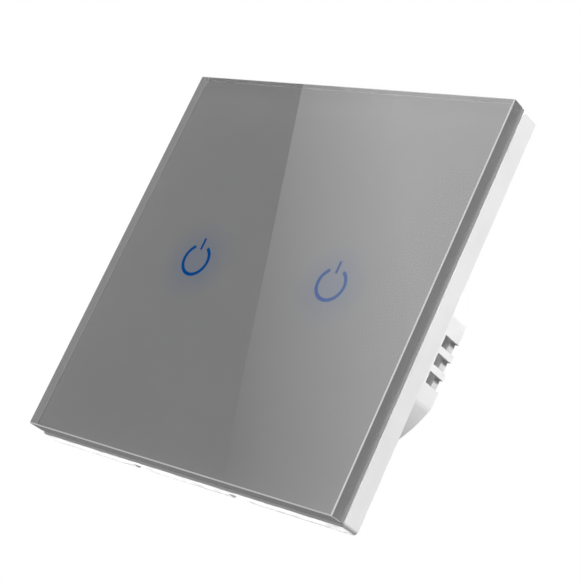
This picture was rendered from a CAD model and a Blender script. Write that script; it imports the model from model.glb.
import math

import bmesh
import bpy
from mathutils import Matrix, Vector


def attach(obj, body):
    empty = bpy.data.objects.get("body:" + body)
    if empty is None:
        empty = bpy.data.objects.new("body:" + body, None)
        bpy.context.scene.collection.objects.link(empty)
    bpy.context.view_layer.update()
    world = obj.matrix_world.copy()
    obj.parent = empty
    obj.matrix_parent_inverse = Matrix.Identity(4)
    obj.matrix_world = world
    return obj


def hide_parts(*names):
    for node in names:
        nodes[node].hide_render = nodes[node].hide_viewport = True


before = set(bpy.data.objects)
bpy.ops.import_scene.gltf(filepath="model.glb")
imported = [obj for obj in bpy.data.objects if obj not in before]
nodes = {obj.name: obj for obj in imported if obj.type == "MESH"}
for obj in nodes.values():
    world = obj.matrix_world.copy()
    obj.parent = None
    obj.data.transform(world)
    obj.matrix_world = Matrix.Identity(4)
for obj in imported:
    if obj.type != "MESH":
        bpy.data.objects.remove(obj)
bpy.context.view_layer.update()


# Rear housing: the cup that goes into the wall box, injection moulded in white plastic.
# Two long screws pull it against the base plate. Three notches in its right flat let the wires in.
MM = 0.001


def rest_selection():
    """Leaves edit mode and deselects every object."""
    if bpy.context.object and bpy.context.object.mode == "EDIT":
        bpy.ops.object.mode_set(mode="OBJECT")
    bpy.ops.object.select_all(action="DESELECT")


def settle(name):
    """Names the new object and moves its place into its mesh."""
    piece = bpy.context.object
    piece.name = name
    bpy.ops.object.transform_apply(location=True, rotation=True, scale=True)
    return piece


def block(name, x, y, z):
    """A block between two limits on each axis, in millimetres."""
    rest_selection()
    middle = [(a + b) / 2 * MM for a, b in (x, y, z)]
    size = [(b - a) * MM for a, b in (x, y, z)]
    bpy.ops.mesh.primitive_cube_add(size=1, location=middle, scale=size)
    return settle(name)


def bar(name, x, z, y, d, sides=48):
    """A round bar along Y between two depths, in millimetres."""
    rest_selection()
    bpy.ops.mesh.primitive_cylinder_add(
        vertices=sides, radius=d / 2 * MM, depth=(y[1] - y[0]) * MM,
        location=(x * MM, (y[0] + y[1]) / 2 * MM, z * MM), rotation=(math.pi / 2, 0, 0))
    return settle(name)


def take(piece):
    """Makes a piece the only selected object."""
    rest_selection()
    piece.select_set(True)
    bpy.context.view_layer.objects.active = piece


def edit(piece, kind):
    """Opens a piece for editing with nothing selected, and returns its mesh."""
    take(piece)
    bpy.ops.object.mode_set(mode="EDIT")
    bpy.ops.mesh.select_mode(type=kind)
    bpy.ops.mesh.select_all(action="DESELECT")
    return bmesh.from_edit_mesh(piece.data)


def pick(piece, kind, wanted):
    """Selects the faces or edges whose place and direction, in millimetres, are the wanted ones."""
    mesh = edit(piece, kind)
    if kind == "FACE":
        for face in mesh.faces:
            face.select = bool(wanted(face.calc_center_median() / MM, face.normal))
    else:
        for edge in mesh.edges:
            a, b = (v.co / MM for v in edge.verts)
            edge.select = bool(wanted(a, b))
    mesh.select_flush_mode()
    bmesh.update_edit_mesh(piece.data)


def use(piece, kind, **settings):
    """Puts one modifier on a piece and applies it."""
    take(piece)
    step = piece.modifiers.new(kind.title(), kind)
    for key, value in settings.items():
        setattr(step, key, value)
    bpy.ops.object.modifier_apply(modifier=step.name)


def carve(piece, *tools, way="DIFFERENCE"):
    """Cuts the tools out of a piece, or joins them to it, and throws the tools away."""
    for tool in tools:
        use(piece, "BOOLEAN", object=tool, operation=way, solver="EXACT")
        bpy.data.objects.remove(tool)


def merge(piece, near):
    """Joins a mesh's doubled points and flat neighbouring faces."""
    edit(piece, "VERT")
    bpy.ops.mesh.select_all(action="SELECT")
    bpy.ops.mesh.remove_doubles(threshold=near * MM)
    bpy.ops.mesh.dissolve_limited(angle_limit=math.radians(0.4))
    bpy.ops.mesh.select_all(action="DESELECT")
    bpy.ops.object.mode_set(mode="OBJECT")


def ease(piece, width, angle=32):
    """Rounds a moulding's sharp edges and shades its curves smooth."""
    merge(piece, 0.002)
    use(piece, "BEVEL", width=width * MM, segments=2, limit_method="ANGLE",
        angle_limit=math.radians(angle), use_clamp_overlap=True, miter_outer="MITER_ARC")
    take(piece)
    bpy.ops.object.shade_smooth_by_angle(angle=math.radians(angle))
    use(piece, "WEIGHTED_NORMAL", mode="FACE_AREA", weight=90, keep_sharp=True)


def wire(tree, out, into):
    """Joins two sockets of a node tree."""
    tree.links.new(out, into)


def node(tree, kind, **values):
    """A new node with constants on its sockets, or its settings set."""
    made = tree.nodes.new(kind)
    for key, value in values.items():
        if key in made.inputs:
            made.inputs[key].default_value = value
        else:
            setattr(made, key, value)
    return made


def put(shader, values):
    """Sets constants on a shader's sockets."""
    for key, value in values.items():
        shader.inputs[key].default_value = value


def finish(name):
    """A new material with its shader and Object coordinates."""
    material = bpy.data.materials.new(name)
    material.use_nodes = True
    tree = material.node_tree
    shader = tree.nodes["Principled BSDF"]
    place = tree.nodes.new("ShaderNodeTexCoord").outputs["Object"]
    return material, tree, shader, place


def spread(tree, place, scale, low, high):
    """A value or colour that wanders between two others over the surface."""
    noise = node(tree, "ShaderNodeTexNoise", Scale=scale, Detail=3.0)
    wire(tree, place, noise.inputs["Vector"])
    ramp = tree.nodes.new("ShaderNodeValToRGB")
    for element, at, value in zip(ramp.color_ramp.elements, (0.35, 0.65), (low, high)):
        element.position = at
        element.color = (*value, 1) if isinstance(value, tuple) else (value, value, value, 1)
    wire(tree, noise.outputs["Fac"], ramp.inputs["Fac"])
    return ramp.outputs["Color"]


def raised(tree, shader, height, strength, distance):
    """Raises a surface by a pattern, up to a distance in millimetres."""
    bump = node(tree, "ShaderNodeBump", Strength=strength, Distance=distance * MM)
    wire(tree, height, bump.inputs["Height"])
    wire(tree, bump.outputs["Normal"], shader.inputs["Normal"])


def grained(tree, shader, place, scale, strength):
    """Fine irregular grain in the surface."""
    noise = node(tree, "ShaderNodeTexNoise", Scale=scale, Detail=2.0)
    wire(tree, place, noise.inputs["Vector"])
    raised(tree, shader, noise.outputs["Fac"], strength, 0.02)


def moulding(name, colour, rough=0.4, drift=0.03, grain=3200, depth=0.12):
    """Moulded plastic: a faint drift of colour and gloss, and the mould's fine spark grain."""
    material, tree, shader, place = finish(name)
    pale = tuple(min(1.0, c * (1 + drift)) for c in colour)
    dark = tuple(c * (1 - drift) for c in colour)
    wire(tree, spread(tree, place, 70, dark, pale), shader.inputs["Base Color"])
    wire(tree, spread(tree, place, 420, rough - 0.05, rough + 0.07), shader.inputs["Roughness"])
    grained(tree, shader, place, grain, depth)
    return material


def dress(piece, *materials):
    """Gives a piece its finishes."""
    piece.data.materials.clear()
    for material in materials:
        piece.data.materials.append(material)


def seat(piece, body, slot, *solids):
    """Hangs a piece on its body, in place of the plain solids it stands for."""
    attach(piece, body)
    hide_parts(*solids)


WHITE = (0.80, 0.80, 0.80)
PAST = 1.0
HOUSING_D, HOUSING_FLAT, HOUSING_WALL, HOUSING_EDGE = 53.2, 25.0, 1.8, 0.4
HOUSING_Y, FLOOR_Y = (-0.3, 27.3), (25.4, 26.8)
POST_Z, POST_D, POST_Y = 20.3, 7.0, (10.0, 26.1)
SCREW_WAY_D, HEAD_WELL_D, HEAD_SEAT = 2.4, 4.8, 13.0
RIB_ANGLES, RIB_R, RIB_W, RIB_FROM, RIB_ROOT = (40, 140, 220, 320), (22.9, 25.7), 1.6, 8.6, 0.5
POLE_Z = (4.1, 0.0, -4.1)
THIN_X, THIN_FROM, THIN_Z = (22.9, 24.0), 21.0, 6.6
NOTCH_FROM, NOTCH_W = 22.05, 2.56
ACCESS_X, ACCESS_D = 16.05, 3.45
CORNER_REACH = 3.0
FLOOR_GLOW, FLOOR_GLOW_COLOUR = 0.09, (0.84, 0.91, 1, 1)


def cup_form(name, y, shrink):
    """A round slug with the housing's two flats."""
    slug = bar(name, 0, 0, y, HOUSING_D - 2 * shrink, sides=144)
    for side in (-1, 1):
        edit(slug, "FACE")
        bpy.ops.mesh.select_all(action="SELECT")
        bpy.ops.mesh.bisect(plane_co=(side * (HOUSING_FLAT - shrink) * MM, 0, 0), plane_no=(side, 0, 0),
                            use_fill=True, clear_outer=True)
        bpy.ops.object.mode_set(mode="OBJECT")
    return slug


housing = cup_form("housing_shell", HOUSING_Y, 0)
pick(housing, "EDGE", lambda a, b: min(a.y, b.y) > HOUSING_Y[1] - 0.01)
bpy.ops.mesh.bevel(offset=HOUSING_EDGE * MM, segments=3, affect="EDGES")
carve(housing, cup_form("inside", (HOUSING_Y[0] - PAST, FLOOR_Y[0]), HOUSING_WALL),
      cup_form("recess", (FLOOR_Y[1], HOUSING_Y[1] + PAST), HOUSING_WALL))
carve(housing, *(bar("post", 0, z, POST_Y, POST_D) for z in (POST_Z, -POST_Z)), way="UNION")
for angle in RIB_ANGLES:
    rib = block("rib", RIB_R, (RIB_FROM, FLOOR_Y[0] + RIB_ROOT), (-RIB_W / 2, RIB_W / 2))
    rib.rotation_euler.y = math.radians(angle)
    bpy.ops.object.transform_apply(rotation=True)
    carve(housing, rib, way="UNION")
for z in (POST_Z, -POST_Z):
    carve(housing, bar("screw_way", 0, z, (POST_Y[0] - PAST, HEAD_SEAT + PAST), SCREW_WAY_D),
          bar("head_well", 0, z, (HEAD_SEAT, HOUSING_Y[1] + PAST), HEAD_WELL_D))
carve(housing, block("thin_wall", THIN_X, (THIN_FROM, FLOOR_Y[0]), (-THIN_Z, THIN_Z)))
for z in POLE_Z:
    carve(housing, block("notch", (THIN_X[1], HOUSING_FLAT + PAST), (NOTCH_FROM, HOUSING_Y[1] + PAST),
                         (z - NOTCH_W / 2, z + NOTCH_W / 2)),
          bar("screw_access", ACCESS_X, z, (FLOOR_Y[0] - PAST, HOUSING_Y[1] + PAST), ACCESS_D))
ease(housing, 0.16)
# Its corners and crannies are a little darker, and light seeps through its thin floor
housing_white = moulding("housing_white", WHITE, rough=0.38)
tree = housing_white.node_tree
colour = tree.nodes["Principled BSDF"].inputs["Base Color"]
corners = node(tree, "ShaderNodeAmbientOcclusion", samples=8, only_local=True, Distance=CORNER_REACH * MM)
wire(tree, colour.links[0].from_socket, corners.inputs["Color"])
wire(tree, corners.outputs["Color"], colour)
thin_floor = moulding("housing_floor", WHITE, rough=0.38)
put(thin_floor.node_tree.nodes["Principled BSDF"],
    {"Emission Color": FLOOR_GLOW_COLOUR, "Emission Strength": FLOOR_GLOW})
dress(housing, housing_white, thin_floor)
for face in housing.data.polygons:
    at_floor = abs(face.center.y / MM - FLOOR_Y[0]) < 0.1
    face.material_index = 1 if at_floor and face.normal.y < -0.9 else 0
seat(housing, "base", "white_housing", "rear_housing")


# Housing screws: two long zinc-plated screws with cross heads. They go in from behind, through the
# housing's posts, and bite into the base plate's pillars.
ZINC = (0.62, 0.63, 0.65)
BAND_PERIOD = 0.314


def copied(name, solid):
    """A new object with a copy of a plain solid's mesh."""
    piece = bpy.data.objects.new(name, nodes[solid].data.copy())
    bpy.context.scene.collection.objects.link(piece)
    return piece


def softened(name, solid, width):
    """A copy of a plain solid with its edges eased, as a mould or a press leaves them."""
    piece = copied(name, solid)
    ease(piece, width)
    return piece


def bands(tree, place, pitch):
    """Even bands along Y, at a pitch in millimetres."""
    wave = node(tree, "ShaderNodeTexWave", wave_type="BANDS", bands_direction="Y",
                Scale=BAND_PERIOD / (pitch * MM))
    wire(tree, place, wave.inputs["Vector"])
    return wave.outputs["Fac"]


def plated(name, colour, rough=0.3, thread=None):
    """Plated or bare metal: a drift of gloss, fine rubbing marks and, on a screw, its thread."""
    material, tree, shader, place = finish(name)
    pale = tuple(min(1.0, c * 1.08) for c in colour)
    wire(tree, spread(tree, place, 260, colour, pale), shader.inputs["Base Color"])
    wire(tree, spread(tree, place, 900, rough - 0.02, rough + 0.03), shader.inputs["Roughness"])
    put(shader, {"Metallic": 1.0})
    if thread:
        raised(tree, shader, bands(tree, place, thread), 0.6, 0.15)
    else:
        grained(tree, shader, place, 2600, 0.04)
    return material


long_screws = softened("housing_screw_pair", "housing_screws", 0.1)
dress(long_screws, plated("zinc_long_screw", ZINC, thread=0.9))
seat(long_screws, "base", "zinc_screws", "housing_screws")


# Power board: a round board of glass-epoxy with a green mask, which carries the relays, the supply's
# parts and the terminals. The housing's ribs press it against the base plate's stands.
MASK_GAP, MASK_LOW, MASK_HIGH = (0.016, 0.095, 0.045), (0.030, 0.17, 0.075), (0.035, 0.20, 0.085)


def ramped(tree, value, start, stop, low=0.0, high=1.0, kind="LINEAR"):
    """A value that goes from low to high while another goes from start to stop."""
    ramp = node(tree, "ShaderNodeMapRange", interpolation_type=kind)
    put(ramp, {"From Min": start, "From Max": stop, "To Min": low, "To Max": high})
    wire(tree, value, ramp.inputs["Value"])
    return ramp.outputs["Result"]


def mixed(tree, share, low, high):
    """A colour between two others, each a colour or a node's output."""
    mix = node(tree, "ShaderNodeMix", data_type="RGBA")
    wire(tree, share, mix.inputs["Factor"])
    for key, colour in (("A", low), ("B", high)):
        if isinstance(colour, tuple):
            mix.inputs[key].default_value = (*colour, 1)
        else:
            wire(tree, colour, mix.inputs[key])
    return mix.outputs["Result"]


def laminate(name):
    """Circuit board: copper fields under a green mask, parted by darker gaps."""
    material, tree, shader, place = finish(name)
    turn = node(tree, "ShaderNodeMapping", Rotation=(math.pi / 2, 0, 0))
    wire(tree, place, turn.inputs["Vector"])
    between = node(tree, "ShaderNodeMath", operation="SUBTRACT")
    for feature, side in (("F2", 0), ("F1", 1)):
        cells = node(tree, "ShaderNodeTexVoronoi", voronoi_dimensions="2D", distance="CHEBYCHEV",
                     feature=feature, Scale=210.0, Randomness=0.85)
        wire(tree, turn.outputs[0], cells.inputs["Vector"])
        wire(tree, cells.outputs["Distance"], between.inputs[side])
    copper = ramped(tree, between.outputs[0], 0.05, 0.09)
    field = spread(tree, place, 300, MASK_LOW, MASK_HIGH)
    wire(tree, mixed(tree, copper, MASK_GAP, field), shader.inputs["Base Color"])
    wire(tree, spread(tree, place, 600, 0.28, 0.42), shader.inputs["Roughness"])
    raised(tree, shader, copper, 0.4, 0.05)
    return material


dress(nodes["power_board"], laminate("power_board_green"))


# Relays: two slim power relays, one for each lamp circuit. Each is a black moulded base and case
# round a copper coil, a bent iron yoke, an armature that rocks on it and a brass contact.
BLACK, BRASS, IRON = (0.022, 0.022, 0.024), (0.72, 0.52, 0.22), (0.50, 0.50, 0.52)
COPPER_DARK, COPPER_PALE, COPPER_PITCH = (0.20, 0.06, 0.02, 1), (0.52, 0.20, 0.07, 1), 0.2


def winding(name):
    """Enamelled copper wire, wound in close turns round the coil's axis."""
    material, tree, shader, place = finish(name)
    turns = bands(tree, place, COPPER_PITCH)
    shade = tree.nodes.new("ShaderNodeValToRGB")
    shade.color_ramp.elements[0].color = COPPER_DARK
    shade.color_ramp.elements[1].color = COPPER_PALE
    wire(tree, turns, shade.inputs["Fac"])
    wire(tree, shade.outputs["Color"], shader.inputs["Base Color"])
    raised(tree, shader, turns, 0.7, 0.08)
    put(shader, {"Roughness": 0.3, "Metallic": 0.4})
    return material


for side in ("left", "right"):
    relay = side + "_relay_"
    foot = softened(relay + "foot", relay + "base", 0.12)
    dress(foot, moulding(relay + "foot_black", BLACK, rough=0.5, drift=0.15))
    seat(foot, "base", "relay_black", relay + "base")
    hood = softened(relay + "hood", relay + "case", 0.18)
    dress(hood, moulding(relay + "hood_black", BLACK, rough=0.34, drift=0.15))
    seat(hood, "base", "relay_black", relay + "case")
    dress(nodes[relay + "coil"], winding(relay + "copper"))
    dress(nodes[relay + "yoke"], plated(relay + "yoke_iron", IRON, rough=0.38))
    dress(nodes[relay + "armature"], plated(relay + "armature_iron", IRON, rough=0.34))
    dress(nodes[relay + "contact"], plated(relay + "contact_brass", BRASS, rough=0.26))


# Electrolytic capacitor: an aluminium can in a dark shrink sleeve with a pale stripe down one side.
# Its bare top is scored with a cross, so that it vents there. Its leads are soldered to the board.
CAN_X, CAN_TOP, CAN_TOP_R, CAN_EDGE = 7.82, 20.6, 3.45, 0.2
SCORE_L, SCORE_W, SCORE_DEPTH = 3.8, 0.24, 0.15
STRIPE_FROM, STRIPE_EDGE = 3.2, 0.05
SLEEVE_LOW, SLEEVE_HIGH = (0.020, 0.021, 0.030), (0.028, 0.029, 0.040)
STRIPE_LOW, STRIPE_HIGH = (0.52, 0.53, 0.56), (0.60, 0.61, 0.63)
can = softened("supply_can", "electrolytic_capacitor", CAN_EDGE)
for long, wide in ((SCORE_L, SCORE_W), (SCORE_W, SCORE_L)):
    carve(can, block("score", (CAN_X - long / 2, CAN_X + long / 2),
                     (CAN_TOP - SCORE_DEPTH, CAN_TOP + PAST), (-wide / 2, wide / 2)))


def along(tree, place, axis):
    """One coordinate of a place."""
    parts = tree.nodes.new("ShaderNodeSeparateXYZ")
    wire(tree, place, parts.inputs[0])
    return parts.outputs[axis]


sleeve, tree, shader, place = finish("can_sleeve_dark")
stripe_at = (CAN_X + STRIPE_FROM) * MM
stripe = ramped(tree, along(tree, place, "X"), stripe_at, stripe_at + STRIPE_EDGE * MM)
dark = spread(tree, place, 300, SLEEVE_LOW, SLEEVE_HIGH)
pale = spread(tree, place, 300, STRIPE_LOW, STRIPE_HIGH)
wire(tree, mixed(tree, stripe, dark, pale), shader.inputs["Base Color"])
wire(tree, spread(tree, place, 500, 0.20, 0.32), shader.inputs["Roughness"])
dress(can, sleeve, plated("can_top_aluminium", (0.70, 0.71, 0.72), rough=0.28))
for face in can.data.polygons:
    middle = face.center / MM
    bare = middle.y > CAN_TOP - CAN_EDGE and math.hypot(middle.x - CAN_X, middle.z) < CAN_TOP_R
    face.material_index = 1 if bare else 0
seat(can, "base", "can_sleeve", "electrolytic_capacitor")


# Small supply parts: a film capacitor in a yellow moulded box, a surge absorber dipped in blue
# epoxy, and a black bridge rectifier. All three are soldered to the power board.
for name, solid, width, slot, look in (
        ("film_box", "film_capacitor", 0.25, "yellow_case",
         moulding("film_box_yellow", (0.70, 0.48, 0.05), rough=0.36, drift=0.06)),
        ("surge_disc", "surge_absorber", 0.3, "blue_coating",
         moulding("surge_disc_blue", (0.03, 0.10, 0.36), rough=0.42, drift=0.1, grain=500, depth=0.5)),
        ("bridge_rectifier", "rectifier", 0.12, "chip_black",
         moulding("rectifier_black", BLACK, rough=0.5, drift=0.15))):
    piece = softened(name, solid, width)
    dress(piece, look)
    seat(piece, "base", slot, solid)


# Terminals: a white moulded block with three open chambers, a stamped brass strip in each, a nickelled
# steel jaw that the screw draws back onto the wire, and the zinc-plated screw itself.
chambers = softened("terminal_moulding", "terminal_block", 0.12)
dress(chambers, moulding("terminal_white", (0.84, 0.84, 0.84), rough=0.46))
seat(chambers, "base", "terminal_white", "terminal_block")
strips = softened("terminal_strips", "contact_strips", 0.06)
dress(strips, plated("strip_brass", BRASS, rough=0.28))
seat(strips, "base", "contact_brass", "contact_strips")
for pole in ("live", "left", "right"):
    jaw = softened(pole + "_wire_jaw", pole + "_clamp_jaw", 0.07)
    dress(jaw, plated(pole + "_jaw_nickel", (0.60, 0.59, 0.56), rough=0.3))
    seat(jaw, pole + "_jaw", "jaw_steel", pole + "_clamp_jaw")
    bolt = softened(pole + "_wire_screw", pole + "_terminal_screw", 0.08)
    dress(bolt, plated(pole + "_screw_zinc", ZINC, thread=0.4))
    seat(bolt, pole + "_screw", "terminal_steel", pole + "_terminal_screw")


# Board connector: a black strip of six gilt pins on the touch board, and the black socket on the
# power board that they plug into when the two halves are closed.
GILT = (0.80, 0.60, 0.26)
for name, solid in (("pin_holder", "pin_strip"), ("pin_socket", "connector_socket")):
    piece = softened(name, solid, 0.08)
    dress(piece, moulding(name + "_black", BLACK, rough=0.48, drift=0.15))
    seat(piece, "base", "connector_black", solid)
pins = softened("gilt_pins", "connector_pins", 0.06)
dress(pins, plated("pin_gilt", GILT, rough=0.22))
seat(pins, "base", "pin_brass", "connector_pins")


# Base plate: the white moulded plate that two screws hold to the wall box. The panel's pegs push
# into its corner sockets, and it carries the touch board in a pocket.
plate = softened("base_moulding", "base_plate", 0.14)
dress(plate, moulding("base_white", (0.79, 0.79, 0.79), rough=0.45))
seat(plate, "base", "white_base", "base_plate")


# Touch board: the square green board behind the cover, with the touch chip on its back and a small
# lamp of clear cast resin behind each icon.
CHIP_HALF = 1.97
dress(nodes["touch_board"], laminate("touch_board_green"))
chip = softened("sensing_chip", "touch_chip", 0.03)
dress(chip, moulding("chip_black", BLACK, rough=0.5, drift=0.15), plated("chip_leg_tin", (0.66, 0.67, 0.68)))
for face in chip.data.polygons:
    face.material_index = 1 if abs(face.center.z) > CHIP_HALF * MM else 0
seat(chip, "base", "chip_black", "touch_chip")
for side in ("left", "right"):
    lens = softened(side + "_lamp_lens", side + "_indicator_lamp", 0.06)
    resin = moulding(side + "_lamp_resin", (0.84, 0.87, 0.92), rough=0.16, depth=0.03)
    put(resin.node_tree.nodes["Principled BSDF"], {"Transmission Weight": 0.5})
    dress(lens, resin)
    seat(lens, "base", "lamp_resin", side + "_indicator_lamp")


# Touch springs: two turns of gold-flashed wire behind each icon, which feel a finger through the
# glass. They stand on the touch board and end a small gap behind the print.
ICON_X, ICON_Z = (-20.0, 18.0), 0.2
COIL_R, WIRE_D, COIL_TURNS, COIL_FOOT, COIL_TOP = 3.0, 0.4, 2, -2.6, -4.5
WIRE_SIDES, TURN_STEPS = 14, 56
for side, x in zip(("left", "right"), ICON_X):
    rest_selection()
    bpy.ops.mesh.primitive_circle_add(vertices=WIRE_SIDES, radius=WIRE_D / 2 * MM)
    coil = bpy.context.object
    edit(coil, "VERT")
    bpy.ops.mesh.select_all(action="SELECT")
    bpy.ops.transform.translate(value=(COIL_R * MM, 0, 0))
    bpy.ops.object.mode_set(mode="OBJECT")
    use(coil, "SCREW", axis="Y", angle=2 * math.pi, iterations=COIL_TURNS, steps=TURN_STEPS,
        render_steps=TURN_STEPS, screw_offset=(COIL_TOP - COIL_FOOT) / COIL_TURNS * MM)
    edit(coil, "VERT")
    bpy.ops.mesh.select_all(action="SELECT")
    bpy.ops.mesh.fill_holes(sides=0)
    bpy.ops.mesh.select_all(action="SELECT")
    bpy.ops.mesh.normals_make_consistent(inside=False)
    bpy.ops.object.mode_set(mode="OBJECT")
    coil.location = (x * MM, COIL_FOOT * MM, ICON_Z * MM)
    settle(side + "_sensing_coil")
    bpy.ops.object.shade_smooth_by_angle(angle=math.radians(40))
    dress(coil, plated(side + "_coil_gilt", GILT, rough=0.22))
    seat(coil, "base", "gilt_spring", side + "_touch_spring")


# Front cover: a thin white moulding over the touch board, with a well round each touch spring. Two
# short zinc-plated screws with cross heads hold it to the base plate's ears.
cover = softened("cover_moulding", "front_cover", 0.12)
dress(cover, moulding("cover_white", (0.77, 0.77, 0.76), rough=0.5))
seat(cover, "base", "white_cover", "front_cover")
short_screws = softened("cover_screw_pair", "cover_screws", 0.06)
dress(short_screws, plated("zinc_short_screw", ZINC, thread=0.5))
seat(short_screws, "base", "zinc_screws", "cover_screws")


# Panel frame: the white moulding glued behind the glass. Its lip slopes off past the glass at the
# top and bottom, a fine shadow line runs near the wall, and two pry notches take a screwdriver.
FRAME_X, FRAME_Z, FRAME_FRONT, FRAME_BACK = 43.0, 43.45, -5.0, -0.2
LIP_STEPS = ((0.3, 0.0, 0.3), (0.15, 0.03, 0.15))
BACK_STEP = (0.35, 0.35, 0.05)
FRAME_WALL, FRAME_RIM, FRAME_CORNER = 1.8, 1.2, 0.8
DECK_W, DECK_FRONT, DECK_BACK, DECK_CORNER = 8.0, -4.7, -3.4, 1.1
PRY_X, PRY_W, PRY_FROM, PRY_REACH = 13.8, 4.2, -2.55, 2.35
PEG_INSET, PEG_D, PEG_Y, SPLIT_W, SPLIT_FROM = 5.5, 3.0, (-4.05, -0.5), 0.6, -2.8
SHADOW_X, SHADOW_Y, SHADOW_DEPTH = 42.3, (-0.85, -0.5), 0.6


def step_out(piece, side, step, narrow, lower, half_x, half_z):
    """Draws the front (side -1) or back (side 1) face out along Y and tapers it, for a bevel all round."""
    pick(piece, "FACE", lambda place, normal: side * normal.y > 0.9)
    bpy.ops.mesh.extrude_region_move(TRANSFORM_OT_translate={"value": (0, side * step * MM, 0)})
    bpy.ops.transform.resize(value=((half_x - narrow) / half_x, 1, (half_z - lower) / half_z))
    bpy.ops.object.mode_set(mode="OBJECT")


def core(name, margin, y):
    """A block at a margin inside the frame's outline."""
    x, z = FRAME_X - margin, FRAME_Z - margin
    return block(name, (-x, x), y, (-z, z))


lip_depth = sum(step for step, narrow, lower in LIP_STEPS)
panel = core("panel_surround", 0, (FRAME_FRONT + lip_depth, FRAME_BACK - BACK_STEP[0]))
half_z = FRAME_Z
for step, narrow, lower in LIP_STEPS:
    step_out(panel, -1, step, narrow, lower, FRAME_X, half_z)
    half_z -= lower
step_out(panel, 1, *BACK_STEP, FRAME_X, FRAME_Z)
carve(panel, core("inside", FRAME_WALL, (DECK_BACK, PAST)),
      core("tape_seat", FRAME_RIM, (FRAME_FRONT - PAST, DECK_FRONT)))
opening = core("opening", DECK_W, (FRAME_FRONT - PAST, PAST))
pick(opening, "EDGE", lambda a, b: abs(a.y - b.y) > 1)
bpy.ops.mesh.bevel(offset=DECK_CORNER * MM, segments=6, affect="EDGES")
carve(panel, opening)
for x in (-PRY_X, PRY_X):
    carve(panel, block("pry_notch", (x - PRY_W / 2, x + PRY_W / 2), (PRY_FROM, PAST),
                       (-FRAME_Z - PAST, -FRAME_Z + PRY_REACH)))
pick(panel, "EDGE", lambda a, b: min(abs(a.x), abs(b.x)) > FRAME_X - 0.5 and a.x * b.x > 0
     and min(abs(a.z), abs(b.z)) > FRAME_Z - 0.55 and abs(a.y - b.y) > 0.01)
bpy.ops.mesh.bevel(offset=FRAME_CORNER * MM, segments=8, affect="EDGES")
for x in (PEG_INSET - FRAME_X, FRAME_X - PEG_INSET):
    for z in (PEG_INSET - FRAME_Z, FRAME_Z - PEG_INSET):
        peg = bar("peg", x, z, PEG_Y, PEG_D)
        carve(peg, block("split", (x - SPLIT_W / 2, x + SPLIT_W / 2), (SPLIT_FROM, PAST),
                         (z - PEG_D, z + PEG_D)))
        carve(panel, peg, way="UNION")
for z in (-FRAME_Z, FRAME_Z):
    carve(panel, block("shadow_line", (-SHADOW_X, SHADOW_X), SHADOW_Y, (z - SHADOW_DEPTH, z + SHADOW_DEPTH)))
ease(panel, 0.1)
dress(panel, moulding("frame_white", WHITE, rough=0.34))
seat(panel, "panel", "white_frame", "panel_frame")


# Bonding tape: a ring of grey foam tape, sticky on both faces. It holds the glass, with the print
# on its back, to the frame's seat.
dress(nodes["bonding_tape"],
      moulding("tape_grey", (0.42, 0.42, 0.43), rough=0.8, drift=0.1, grain=1500, depth=0.4))


# Print: fired grey enamel on the back of the glass, with the two icons left open in it.
# A little of the lamps' light leaks through it round the icons.
PRINT_X, PRINT_Z, PRINT_Y, PRINT_T = 42.6, 42.95, -5.2, 0.2
ENAMEL_LOW, ENAMEL_HIGH = (0.381, 0.381, 0.381), (0.387, 0.387, 0.387)
HALO, HALO_FROM, HALO_TO, HALO_SHARE = (0.300, 0.331, 0.399), 2.0, 10.5, 0.85
SIGN_GROWTH, SIGN_FIT, SIGN_SHIFT, CUT_FIT = 0.15, 0.944, (-0.3, 0.2), 4


def sign_form(name, side, x, thick=1):
    """A copy of an icon's window with its strokes a little thicker, at the place where it shows."""
    sign = copied(name, side + "_icon_window")
    merge(sign, 0.001)
    pick(sign, "FACE", lambda place, normal: abs(normal.y) < 0.5)
    bpy.ops.transform.shrink_fatten(value=SIGN_GROWTH * MM)
    bpy.ops.mesh.select_all(action="SELECT")
    bpy.ops.transform.resize(value=(SIGN_FIT, thick, SIGN_FIT),
                             center_override=(x * MM, (PRINT_Y + PRINT_T / 2) * MM, ICON_Z * MM))
    bpy.ops.transform.translate(value=(SIGN_SHIFT[0] * MM, 0, SIGN_SHIFT[1] * MM))
    bpy.ops.object.mode_set(mode="OBJECT")
    return sign


enamel, tree, shader, place = finish("enamel_grey")
grey = spread(tree, place, 300, ENAMEL_LOW, ENAMEL_HIGH)
coat = block("enamel_coat", (-PRINT_X, PRINT_X), (PRINT_Y, PRINT_Y + PRINT_T), (-PRINT_Z, PRINT_Z))
for side, x in zip(("left", "right"), ICON_X):
    far = node(tree, "ShaderNodeVectorMath", operation="DISTANCE")
    wire(tree, place, far.inputs[0])
    far.inputs[1].default_value = (x * MM, PRINT_Y * MM, ICON_Z * MM)
    leak = ramped(tree, far.outputs["Value"], HALO_FROM * MM, HALO_TO * MM, HALO_SHARE, 0.0, "SMOOTHSTEP")
    grey = mixed(tree, leak, grey, HALO)
    carve(coat, sign_form("sign_cut", side, x, CUT_FIT))
wire(tree, grey, shader.inputs["Base Color"])
put(shader, {"Roughness": 0.6, "Specular IOR Level": 0.0})
dress(coat, enamel)
seat(coat, "panel", "grey_ink", "icon_film")


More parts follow.
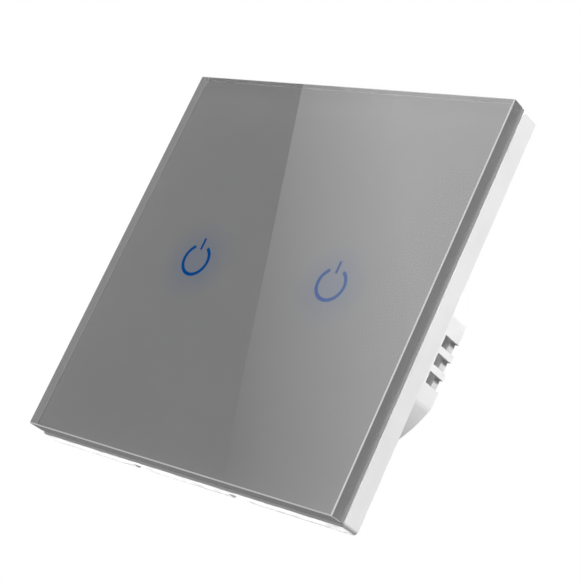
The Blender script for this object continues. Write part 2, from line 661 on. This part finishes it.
# Power signs: blue ink printed in the openings of the grey enamel, a broken ring with a stroke. The
# indicator lamps light it from behind.
BLUE_LOW, BLUE_HIGH = (0.001, 0.03, 0.14), (0.001, 0.04, 0.175)
BLUE_LIGHT, BLUE_STRENGTH = (0.0, 0.235, 1.0, 1), 0.255
for side, x in zip(("left", "right"), ICON_X):
    sign = sign_form(side + "_power_sign", side, x)
    ink, tree, shader, place = finish(side + "_sign_blue")
    wire(tree, spread(tree, place, 700, BLUE_LOW, BLUE_HIGH), shader.inputs["Base Color"])
    put(shader, {"Specular IOR Level": 0.0, "Emission Color": BLUE_LIGHT, "Emission Strength": BLUE_STRENGTH})
    dress(sign, ink)
    seat(sign, "panel", "blue_ink", side + "_icon_window")


# Glass: a 4 mm sheet of toughened grey-tinted glass. Its front arrises, lower and left edges are
# ground; the right edge is polished and turns frosty towards the back. Tape bonds it to the frame.
GLASS_X, GLASS_FRONT, GLASS_BACK = 43.0, -9.2, -5.18
FRONT_BEVEL, CORNER_BEVEL, REAR_BEVEL, REAR_DEPTH = 0.22, 0.12, 0.12, 1.0
FROST_DEPTH, FROST_GROWTH = 0.7, 1.1
FROST_START = PRINT_Y - REAR_DEPTH - FROST_DEPTH
TINT_LOW, TINT_HIGH, FROST_LOW, FROST_HIGH = 0.355, 0.365, 0.13, 0.15
LAMP_SHARE = (0.93, 0.93, 0.93, 1)
FULL = (1, 1, 1, 1)
glass = block("glass_sheet", (-GLASS_X, GLASS_X), (GLASS_FRONT + FRONT_BEVEL, FROST_START),
              (-GLASS_X, GLASS_X))
pick(glass, "EDGE", lambda a, b: abs(a.y - b.y) > 1)
bpy.ops.mesh.bevel(offset=CORNER_BEVEL * MM, segments=1, affect="EDGES")
step_out(glass, -1, FRONT_BEVEL, FRONT_BEVEL, FRONT_BEVEL, GLASS_X, GLASS_X)
for step, narrow in ((FROST_DEPTH, 0), (REAR_DEPTH, REAR_BEVEL), (GLASS_BACK - PRINT_Y, 0)):
    step_out(glass, 1, step, narrow, 0, GLASS_X, GLASS_X)
bpy.ops.object.shade_smooth_by_angle(angle=math.radians(25))


def let_lamps_through(tree, seen):
    """Lets the lamps light what lies behind the glass."""
    ray = tree.nodes.new("ShaderNodeLightPath")
    passed = node(tree, "ShaderNodeBsdfTransparent", Color=LAMP_SHARE)
    either = tree.nodes.new("ShaderNodeMixShader")
    wire(tree, ray.outputs["Is Shadow Ray"], either.inputs[0])
    wire(tree, seen.outputs[0], either.inputs[1])
    wire(tree, passed.outputs[0], either.inputs[2])
    wire(tree, either.outputs[0], tree.nodes["Material Output"].inputs["Surface"])


def tinted_glass(name, frosty=False):
    """Polished glass that tints what is seen through it; a frosty one turns matt towards the back."""
    material, tree, shader, place = finish(name)
    wire(tree, spread(tree, place, 60, TINT_LOW, TINT_HIGH), shader.inputs["Base Color"])
    put(shader, {"Transmission Weight": 1, "IOR": 1.52, "Roughness": 0.0})
    seen = shader
    if frosty:
        frost = node(tree, "ShaderNodeBsdfPrincipled", Roughness=0.7)
        put(frost, {"Emission Color": FULL, "Emission Strength": 0.13})
        wire(tree, spread(tree, place, 1500, FROST_LOW, FROST_HIGH), frost.inputs["Base Color"])
        growth = ramped(tree, along(tree, place, "Y"), FROST_START * MM, (FROST_START + FROST_GROWTH) * MM)
        seen = tree.nodes.new("ShaderNodeMixShader")
        wire(tree, growth, seen.inputs[0])
        wire(tree, shader.outputs[0], seen.inputs[1])
        wire(tree, frost.outputs[0], seen.inputs[2])
    let_lamps_through(tree, seen)
    return material


def ground_glass(name, grey, glow=0.0):
    """A matt ground edge, which glows a little with the light that the sheet leads to it."""
    material, tree, shader, place = finish(name)
    wire(tree, spread(tree, place, 1500, 0.94 * grey, 1.06 * grey), shader.inputs["Base Color"])
    put(shader, {"Specular IOR Level": 0.0, "Emission Color": FULL, "Emission Strength": glow})
    return material


arris = ground_glass("glass_arris", 0.13, 0.45)
let_lamps_through(arris.node_tree, arris.node_tree.nodes["Principled BSDF"])
dress(glass, tinted_glass("glass_polished"), arris,
      tinted_glass("glass_frosty", frosty=True), ground_glass("glass_lower_edge", 0.24),
      ground_glass("glass_left_edge", 0.14, 0.28))
for face in glass.data.polygons:
    n = face.normal
    if max(abs(n.x), abs(n.y), abs(n.z)) < 0.98 and n.y < 0.05:
        face.material_index = 1
    elif n.x > 0.5 and face.center.y > FROST_START * MM:
        face.material_index = 2
    elif n.z < -0.9:
        face.material_index = 3
    elif n.x < -0.5:
        face.material_index = 4
seat(glass, "panel", "clear_glass", "glass_panel")


# Studio: a pale floor well below, a white surround, five soft lamps and the camera. The two lamps
# from below light single pieces. Dark and silk cards stand where the glass mirrors them.
SURROUND_LIGHT, FLOOR_Z, FLOOR_SIZE, FLOOR_SEEN = 0.18, -1.5, 16, 0.85
LENS, SENSOR = 104.052, 36.0
CAMERA_AT = Vector((231.904, -231.934, -86.040)) * MM
CAMERA_RIGHT = Vector((0.718755, 0.562809, 0.408213))
CAMERA_DOWN = Vector((0.136084, 0.461897, -0.876432))
CAMERA_AHEAD = Vector((-0.681815, 0.685491, 0.255401))


def seen_itself(tree):
    """1 where a surface is seen, also mirrored or through glass, and 0 for its light on others."""
    ray = tree.nodes.new("ShaderNodeLightPath")
    total = ray.outputs["Is Camera Ray"]
    for operation, kind in (("ADD", "Is Glossy Ray"), ("ADD", "Is Transmission Ray"),
                            ("SUBTRACT", "Diffuse Depth")):
        count = node(tree, "ShaderNodeMath", operation=operation, use_clamp=True)
        wire(tree, total, count.inputs[0])
        wire(tree, ray.outputs[kind], count.inputs[1])
        total = count.outputs[0]
    return total


def lamp(name, toward, distance, size, watts):
    """A soft square lamp that looks at the object."""
    light = bpy.data.lights.new(name, "AREA")
    light.shape, light.size, light.energy, light.spread = "SQUARE", size, watts, math.radians(60)
    holder = bpy.data.objects.new(name, light)
    bpy.context.scene.collection.objects.link(holder)
    holder.location = Vector(toward).normalized() * distance
    holder.rotation_euler = Vector(toward).to_track_quat("Z", "Y").to_euler()
    holder.visible_camera = holder.visible_transmission = False
    return holder


world = bpy.data.worlds.new("studio")
bpy.context.scene.world = world
world.use_nodes = True
backdrop = world.node_tree.nodes["Background"]
put(backdrop, {"Color": FULL})
wire(world.node_tree, ramped(world.node_tree, seen_itself(world.node_tree), 0, 1, SURROUND_LIGHT, 1.0),
     backdrop.inputs["Strength"])

lamp("side_lamp", toward=(0.74, -0.1, 0.665), distance=1.6, size=0.45, watts=3.35)
lamp("front_lamp", toward=(-0.05, -0.72, 0.69), distance=2.4, size=0.7, watts=5.3)
lamp("back_lamp", toward=(-0.35, 0.75, 0.55), distance=1.4, size=0.4, watts=1.7)
for name, toward, watts, lit in (("under_lamp", (-0.6, 0.56, -0.57), 2.25, (panel, glass)),
                                 ("fill_lamp", (0.55, 0.1, -0.83), 0.3, (housing, plate))):
    from_below = lamp(name, toward, distance=1.3, size=0.6, watts=watts)
    from_below.light_linking.receiver_collection = bpy.data.collections.new("lit_by_" + name)
    for piece in lit:
        from_below.light_linking.receiver_collection.objects.link(piece)

rest_selection()
bpy.ops.mesh.primitive_plane_add(size=FLOOR_SIZE, location=(0, 0, FLOOR_Z))
floor = bpy.context.object
floor.name = "floor"
pale, tree, shader, place = finish("floor_pale")
wire(tree, spread(tree, place, 3, 0.84, 0.88), shader.inputs["Base Color"])
put(shader, {"Roughness": 0.9})
glow = node(tree, "ShaderNodeEmission", Strength=1.0)
both = tree.nodes.new("ShaderNodeMixShader")
wire(tree, ramped(tree, seen_itself(tree), 0, 1, 0.0, FLOOR_SEEN), both.inputs[0])
wire(tree, shader.outputs[0], both.inputs[1])
wire(tree, glow.outputs[0], both.inputs[2])
wire(tree, both.outputs[0], tree.nodes["Material Output"].inputs["Surface"])
dress(floor, pale)

camera_data = bpy.data.cameras.new("camera")
camera = bpy.data.objects.new("camera", camera_data)
bpy.context.scene.collection.objects.link(camera)
camera_data.sensor_width, camera_data.lens = SENSOR, LENS
camera_data.clip_start, camera_data.clip_end = 0.01, 20.0
turn = Matrix((CAMERA_RIGHT, -CAMERA_DOWN, -CAMERA_AHEAD)).transposed().to_4x4()
camera.matrix_world = Matrix.Translation(CAMERA_AT) @ turn
bpy.context.scene.camera = camera

CARD_Y, CARD_HALF, SILK_LOW_X, SILK_HIGH_X = -0.55, 60, 20.63, -17.33
SILK_TURN, SILK_FROM, SILK_TO, SILK_LIGHT, SILK_GREY = 30.6, -0.008, 0.034, 3.2, (0.384, 0.384, 0.384, 1)
MIRROR_EYE = Vector((CAMERA_AT.x, 2 * GLASS_FRONT * MM - CAMERA_AT.y, CAMERA_AT.z))
reach = (CARD_Y - MIRROR_EYE.y) / (GLASS_FRONT * MM - MIRROR_EYE.y)


def mirrored_only(piece, material):
    """Keeps a card out of all but the mirror images."""
    piece.visible_camera = piece.visible_diffuse = piece.visible_shadow = piece.visible_transmission = False
    dress(piece, material)


def card(name, low_x, high_x, material, back=0.0):
    """A card in front of the glass, from a slanting left edge on, sized by its image in the glass."""
    rest_selection()
    bpy.ops.mesh.primitive_plane_add(size=1)
    piece = bpy.context.object
    piece.name = name
    edges = ((low_x, -CARD_HALF), (CARD_HALF, -CARD_HALF), (high_x, CARD_HALF), (CARD_HALF, CARD_HALF))
    for vertex, (x, z) in zip(piece.data.vertices, edges):
        vertex.co = (x * MM, 0, z * MM)
    piece.location = (MIRROR_EYE.x * (1 - reach), CARD_Y - back, MIRROR_EYE.z * (1 - reach))
    piece.scale = (reach, reach, reach)
    mirrored_only(piece, material)


def flag(name, middle, facing, size):
    """A dark card beside the object that only its mirror images show."""
    rest_selection()
    bpy.ops.mesh.primitive_plane_add(size=size, location=[c * MM for c in middle],
                                     rotation=Vector(facing).to_track_quat("Z", "Y").to_euler())
    bpy.context.object.name = name
    mirrored_only(bpy.context.object, black)


black, tree, shader, place = finish("card_black")
put(shader, {"Base Color": (0.01, 0.01, 0.01, 1), "Specular IOR Level": 0})
card("dark_card", -CARD_HALF, -CARD_HALF, black, back=0.002)
flag("under_card", middle=(-330, 330, -165), facing=(0.68, -0.68, 0.25), size=0.5)
flag("side_card", middle=(330, 300, 112), facing=(-0.68, -0.68, -0.25), size=0.4)

silk, tree, shader, place = finish("card_silk")
split = node(tree, "ShaderNodeMapping", Rotation=(0, math.radians(SILK_TURN), 0))
wire(tree, place, split.inputs["Vector"])
fade = ramped(tree, along(tree, split.outputs[0], "X"), SILK_FROM, SILK_TO, 0.0, SILK_LIGHT)
put(shader, {"Base Color": SILK_GREY, "Roughness": 0.6, "Emission Color": FULL})
wire(tree, fade, shader.inputs["Emission Strength"])
away = node(tree, "ShaderNodeCombineXYZ", Y=-1.0)
wire(tree, away.outputs[0], shader.inputs["Normal"])
card("silk_card", SILK_LOW_X, SILK_HIGH_X, silk)

bpy.context.scene.view_settings.view_transform = "Standard"
